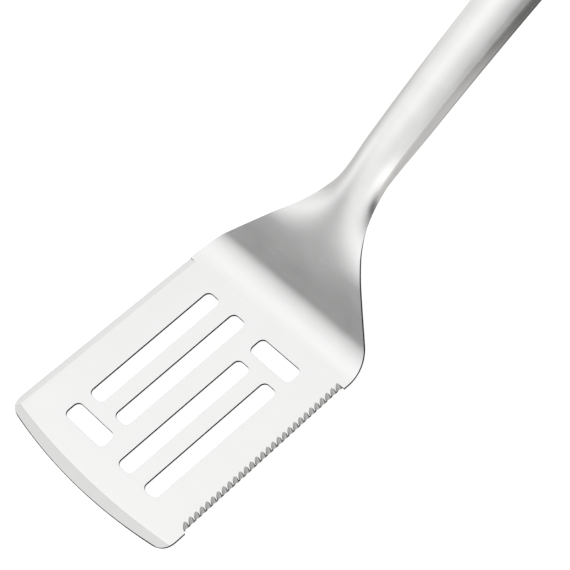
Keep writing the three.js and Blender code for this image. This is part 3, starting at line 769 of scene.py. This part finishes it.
# A face of the blade takes its finish from how it leans: flutes by the serrated edge, bevels that fall to the
# front or to the knife edge, and sheared walls that stand nearly upright.
FLUTE_MARGIN, LEVEL, FLUTE_WALL = 0.4 * mm, 0.999, 0.02
FRONT_FALL, FRONT_LEVEL = -0.1, 0.97
KNIFE_FALL, KNIFE_LEVEL = 0.15, 0.95
NEARLY_UPRIGHT = 0.8
for face in sheet.data.polygons:
    face.use_smooth = True
    x, y, z = face.center
    normal = face.normal
    flutes_end = SAW_RECESS - half_width_at(x) + FLUTE_REACH + FLUTE_MARGIN
    if face.material_index != SATIN or x >= SHOULDER_X:
        continue
    # Flute faces take the flute steel. Its dark tone is painted shade.
    if x > SAW_START and y < flutes_end and FLUTE_WALL < normal.z < LEVEL:
        face.material_index = FLUTED
    elif normal.x < FRONT_FALL and normal.z > FRONT_LEVEL:
        face.material_index = FRONT
    elif normal.y > KNIFE_FALL and normal.z > KNIFE_LEVEL:
        face.material_index = KNIFE
    # Upright walls take the sheared steel. Its nearly black tone is painted shade.
    elif abs(normal.z) < NEARLY_UPRIGHT:
        face.material_index = SHEARED
sheet.data.set_sharp_from_angle(angle=math.radians(14))
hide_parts("blade_sheet")
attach(sheet, "turner")


# ---- Back shell ----
# The handle's lower half: a second pressed shell of 1 mm steel. Its front end is a rounded bow that fits up
# under the neck, and its rims are welded to the sheet's rims and ground flush, which leaves a hairline.
BACK_SHEET, SEAM = 1.0 * mm, 0.03 * mm
BOW_START, BOW_END, FULL_DEPTH = 45.8 * mm, 78.5 * mm, 106 * mm
BOW_TIP_ANGLE, BOW_POINTS = 0.06, 22
STEEPEST_SINE = 0.999999

# Below the seam the shell's underside is painted darker, as painted shade, and its gloss stays the same. The
# seam lies at a nearly even depth under the line of the handle's arch: a little deeper towards the tail, and
# much deeper in front of where the arch starts.
ARCH_START_X, FRONT_DROP = 120.3 * mm, 3.46
SEAM_X, SEAM_DEPTH, SEAM_GROWTH = 108 * mm, 8.5 * mm, 0.0079
SHADE_FROM, SHADE_FULL, UNDERSIDE_PAINTED_SHADE = 0.4 * mm, 2.2 * mm, 0.45
SHADE_START_X, SHADE_FULL_X = 110 * mm, 170 * mm
SHELL_CLOUD = (16 * mm, 1.6)

shell_steel = steel_named("satin_shell_steel_with_painted_shade")
tree = shell_steel.node_tree
x, y, z = places(tree)
arch_height = height_over_arch(x, z)
before_arch = (ARCH_START_X - x).most(0.0)
seam_depth = (x - SEAM_X) * SEAM_GROWTH + SEAM_DEPTH + before_arch * before_arch * FRONT_DROP
# Painted shade: the underside below the seam is darker, fading in from 110 mm to 170 mm along the handle.
painted_shade_underside = smooth_step(-arch_height - seam_depth, SHADE_FROM, SHADE_FULL)
painted_shade_underside = painted_shade_underside * smooth_step(x, SHADE_START_X, SHADE_FULL_X)
finish_steel(shell_steel, BRIGHT_STEEL, 0.25, grain(tree, y, x, arch_height, *FINE_BRUSHING),
             grain(tree, y, x, arch_height, *BROAD_BRUSHING), grain(tree, x, y, z, *SHELL_CLOUD, detail=1.0),
             painted_shade_scale=1 - painted_shade_underside * UNDERSIDE_PAINTED_SHADE)
shell_press = Pressing("press_back_shell", {
    **press_sizes, "Seam": SEAM, "Wall": BACK_SHEET, "Bow start": BOW_START, "Bow end": BOW_END,
    "Full depth": FULL_DEPTH,
})
along, share, depth = blank_points(shell_press)
x, z, rise = middle_line(shell_press, along)
turn, across, down, full_depth = crowned_section(shell_press, along)


def run_back_to_bow(end):
    """From 1 at the bow's tip to 0 at the given end."""
    run = (shell_press[end] - along) / (shell_press[end] - shell_press["Bow start"])
    return run.most(0.0).least(1.0)


run = run_back_to_bow("Bow end")
fullness = (1 - run * run).by("SQRT")
half = strip_half_width(shell_press, along) * fullness
# Height of the sheet's underside above the shell's rim.
lean = (half / across).least(STEEPEST_SINE).by("ARCSINE").least(turn)
side_step, fall = across * lean.by("COSINE"), -down * lean.by("SINE")
length = (side_step * side_step + fall * fall).by("SQRT")
under_sheet = (half - shell_press["Sheet"] * fall / length) / across
lean = under_sheet.least(STEEPEST_SINE).by("ARCSINE").least(turn)
side_step, fall = across * lean.by("COSINE"), -down * lean.by("SINE")
length = (side_step * side_step + fall * fall).by("SQRT")
rim = -down * (1 - lean.by("COSINE")) - shell_press["Sheet"] * side_step / length - shell_press["Seam"]
# The shell's lowest line leaves the sheet's underside at the bow's tip and reaches its full depth slowly.
run = run_back_to_bow("Full depth")
deep = shell_press["Sheet"] + (full_depth - shell_press["Sheet"]) * (1 - run * run) + rim
thinned = 1 - depth / shell_press["Wall"] / 2
angle = share * (math.pi / 2)
y = (half - depth).most(half * thinned) * angle.by("SINE")
square = rim - (deep - depth).most(deep * thinned) * angle.by("COSINE") - set_in(shell_press)
bow_angles = np.linspace(BOW_TIP_ANGLE, math.pi / 2, BOW_POINTS)
bow = [BOW_END - (BOW_END - BOW_START) * math.cos(t) for t in bow_angles]
shell_stations = bow[:-1] + stations((BOW_END, COARSE_START, MEDIUM), (COARSE_START, TAIL, COARSE))
shell = blank("handle_back", shell_stations, plate_section(BACK_SHEET, RIM_ROUNDING, PLATE_POINTS))
shell_press.apply(shell, set_down(shell_press, x, z, rise, y, square), shell_steel)
face_outwards(shell)
for face in shell.data.polygons:
    face.use_smooth = True
shell.data.set_sharp_from_angle(angle=math.radians(35))
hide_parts("handle_back_shell")
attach(shell, "turner")


# ---- End cap ----
# A turned steel cap closes the tail. Its domed face has a thick lug welded on, with a cross hole for the
# hanging loop, and its spigot is pushed into the handle.
CAP_CENTRE, CAP_TILT = Vector((383.8206, 0, 119.6757)) * mm, 0.17799
CAP_HALF_WIDTH, CAP_HALF_DEPTH = 12.456 * mm, 9.494 * mm
CAP_RIM, CAP_DOME, CAP_POINTS = 1.4 * mm, 1.8 * mm, 48
CAP_STEP, CAP_ROUNDING, ROUNDING_START, DOME_END = 0.97, 0.25 * mm, 0.4, 1.5
SPIGOT_LENGTH, SPIGOT_PLAY, SPIGOT_CHAMFER, SPIGOT_TIP = 8 * mm, 0.3 * mm, 1 * mm, 0.94
SPIGOT_FACE = 0.3
LUG_WIDTH, LUG_HEIGHT, LUG_FOOT, LUG_ROUNDING = 9 * mm, 9 * mm, 0.8 * mm, 0.6 * mm
PIVOT_REACH, PIVOT_HOLE, HOLE_FLARE, HOLE_POINTS, DRILL_OVERRUN = 8.5 * mm, 1.9 * mm, 0.3 * mm, 28, 1 * mm
FINE_TURNING, BROAD_TURNING, CAP_CLOUD = (0.16 * mm, 1), (0.7 * mm, 1), (6 * mm, 1)

cap_steel = steel_named("turned_cap_steel")
tree = cap_steel.node_tree
x, y, z = places(tree)
x, z = x - CAP_CENTRE.x, z - CAP_CENTRE.z
out = x * math.cos(CAP_TILT) + z * math.sin(CAP_TILT)
up = z * math.cos(CAP_TILT) - x * math.sin(CAP_TILT)
from_axis = (y * y + up * up * (CAP_HALF_WIDTH / CAP_HALF_DEPTH) ** 2).by("SQRT")
finish_steel(cap_steel, BRIGHT_STEEL, 0.24, grain(tree, from_axis, y * 0, out, *FINE_TURNING),
             grain(tree, from_axis, y * 0, out, *BROAD_TURNING), grain(tree, x, y, z, *CAP_CLOUD), marks=0.07)
on_tail = Matrix.Translation(CAP_CENTRE) @ Matrix.Rotation(-CAP_TILT, 4, "Y")


def circle(radius, count):
    angles = np.linspace(0, 2 * math.pi, count, endpoint=False)
    return [(radius * math.cos(t), radius * math.sin(t)) for t in angles]


def oval(along, width_share, depth_share):
    across, down = CAP_HALF_WIDTH * width_share, CAP_HALF_DEPTH * depth_share
    return [(along, across * c, down * s) for c, s in circle(1.0, CAP_POINTS)]


# The profile goes along the cap in shares of its widest oval: spigot, step, rounded edge, rim and dome.
wall = SHEET + SPIGOT_PLAY
spigot = (1 - wall / CAP_HALF_WIDTH, 1 - wall / CAP_HALF_DEPTH)
profile = [(-SPIGOT_LENGTH, SPIGOT_FACE, SPIGOT_FACE),
           (-SPIGOT_LENGTH, SPIGOT_TIP * spigot[0], SPIGOT_TIP * spigot[1]),
           (-SPIGOT_LENGTH + SPIGOT_CHAMFER, *spigot), (SEAM, *spigot), (SEAM, CAP_STEP, CAP_STEP)]
for t in np.linspace(ROUNDING_START, math.pi / 2, 4):
    edge = CAP_STEP + (1 - CAP_STEP) * math.sin(t)
    profile.append((SEAM + CAP_ROUNDING * (1 - math.cos(t)), edge, edge))
for t in np.linspace(0, DOME_END, 14):
    profile.append((SEAM + CAP_RIM + CAP_DOME * math.sin(t), math.cos(t), math.cos(t)))
cap = closed_grid("end_cap", [oval(*ring) for ring in profile])

lug_outline = [(CAP_RIM, -LUG_HEIGHT / 2 - LUG_FOOT)]
lug_outline += [(PIVOT_REACH + LUG_HEIGHT / 2 * math.cos(t), LUG_HEIGHT / 2 * math.sin(t))
                for t in np.linspace(-math.pi / 2, math.pi / 2, 25)]
lug_outline += [(CAP_RIM, LUG_HEIGHT / 2 + LUG_FOOT)]
lug = closed_grid("lug", [[(x, y, z) for x, z in lug_outline] for y in (-LUG_WIDTH / 2, LUG_WIDTH / 2)])
rounded = lug.modifiers.new("rounded_edges", "BEVEL")
rounded.width = LUG_ROUNDING
rounded.segments = 3
rounded.limit_method = "ANGLE"
rounded.angle_limit = math.radians(60)
settle(lug)
drill = []
outer, inner = LUG_WIDTH / 2 + DRILL_OVERRUN, LUG_WIDTH / 2 - HOLE_FLARE
for y in (-outer, -inner, inner, outer):
    radius = PIVOT_HOLE + max(abs(y) - inner, 0)
    drill.append([(PIVOT_REACH + x, y, z) for x, z in circle(radius, HOLE_POINTS)])
combine(lug, closed_grid("drill", drill), "DIFFERENCE")
combine(cap, lug, "UNION")
cap.data.transform(on_tail)
face_outwards(cap)
cap.data.materials.clear()
cap.data.materials.append(cap_steel)
for face in cap.data.polygons:
    face.use_smooth = True
cap.data.set_sharp_from_angle(angle=math.radians(25))
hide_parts("tail_cap")
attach(cap, "turner")


# ---- Hanging loop ----
# A loop of 3 mm drawn steel wire. Its two ends are sprung into the cap's cross hole, where it swings freely
# so that the tool can hang on a hook.
WIRE_RADIUS, WIRE_END_GAP, WIRE_CORNER, PIVOT_CLEARANCE = 1.5 * mm, 3 * mm, 2.8 * mm, 0.4 * mm
LOOP_LENGTH, LOOP_HALF_WIDTH, WIRE_SIDES = 33 * mm, 9 * mm, 20
QUARTER_CIRCLE_PULL = 0.5523
FINE_DRAWING, BROAD_DRAWING, WIRE_CLOUD = (0.12 * mm, 30), (0.5 * mm, 12), (5 * mm, 1)
PIVOT = CAP_CENTRE + Vector((PIVOT_REACH * math.cos(CAP_TILT), 0, PIVOT_REACH * math.sin(CAP_TILT)))

wire_steel = steel_named("drawn_wire_steel")
tree = wire_steel.node_tree
x, y, z = places(tree)
finish_steel(wire_steel, BRIGHT_STEEL, 0.2, grain(tree, x, z, y, *FINE_DRAWING),
             grain(tree, x, z, y, *BROAD_DRAWING), grain(tree, x, y, z, *WIRE_CLOUD), marks=0.06)


def curved(points, count):
    """Points along a Bezier curve through its control points, without its last one."""
    found = []
    for t in np.linspace(0, 1, count, endpoint=False):
        level = [np.array(point, float) for point in points]
        while len(level) > 1:
            level = [a * (1 - t) + b * t for a, b in zip(level, level[1:])]
        found.append(tuple(level[0]))
    return found


leg, turn_down = LUG_WIDTH / 2 + PIVOT_CLEARANCE + WIRE_RADIUS, LOOP_HALF_WIDTH - LOOP_LENGTH
half_round = QUARTER_CIRCLE_PULL * LOOP_HALF_WIDTH
half_path = curved([(WIRE_END_GAP / 2, 0), (leg - WIRE_CORNER, 0)], 4)
half_path += curved([(leg - WIRE_CORNER, 0), (leg, 0), (leg, -WIRE_CORNER)], 10)
half_path += curved([(leg, -WIRE_CORNER), (leg, turn_down / 2), (LOOP_HALF_WIDTH, turn_down / 2),
                     (LOOP_HALF_WIDTH, turn_down)], 22)
half_path += curved([(LOOP_HALF_WIDTH, turn_down), (LOOP_HALF_WIDTH, turn_down - half_round),
                     (half_round, -LOOP_LENGTH), (0, -LOOP_LENGTH)], 18)
wire_path = half_path + [(0, -LOOP_LENGTH)] + [(-y, z) for y, z in reversed(half_path)]
path_mesh = bpy.data.meshes.new("loop_path")
path_mesh.from_pydata([PIVOT + Vector((0, y, z)) for y, z in wire_path],
                      [(i, i + 1) for i in range(len(wire_path) - 1)], [])
loop = mesh_object("hanging_loop", path_mesh)
bender = Pressing("bend_wire", {"Wire radius": WIRE_RADIUS, "Sides": WIRE_SIDES})
path = bender.node("GeometryNodeMeshToCurve", {0: bender.body})
section = bender.node("GeometryNodeCurvePrimitiveCircle", {
    "Resolution": bender["Sides"], "Radius": bender["Wire radius"],
})
wire = bender.node("GeometryNodeCurveToMesh", {
    "Curve": path.outputs[0], "Profile Curve": section.outputs[0], "Fill Caps": True,
})
bender.apply(loop, wire.outputs[0], wire_steel)
face_outwards(loop)
for face in loop.data.polygons:
    face.use_smooth = True
loop.data.set_sharp_from_angle(angle=math.radians(40))
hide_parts("hang_loop")
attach(loop, "loop")
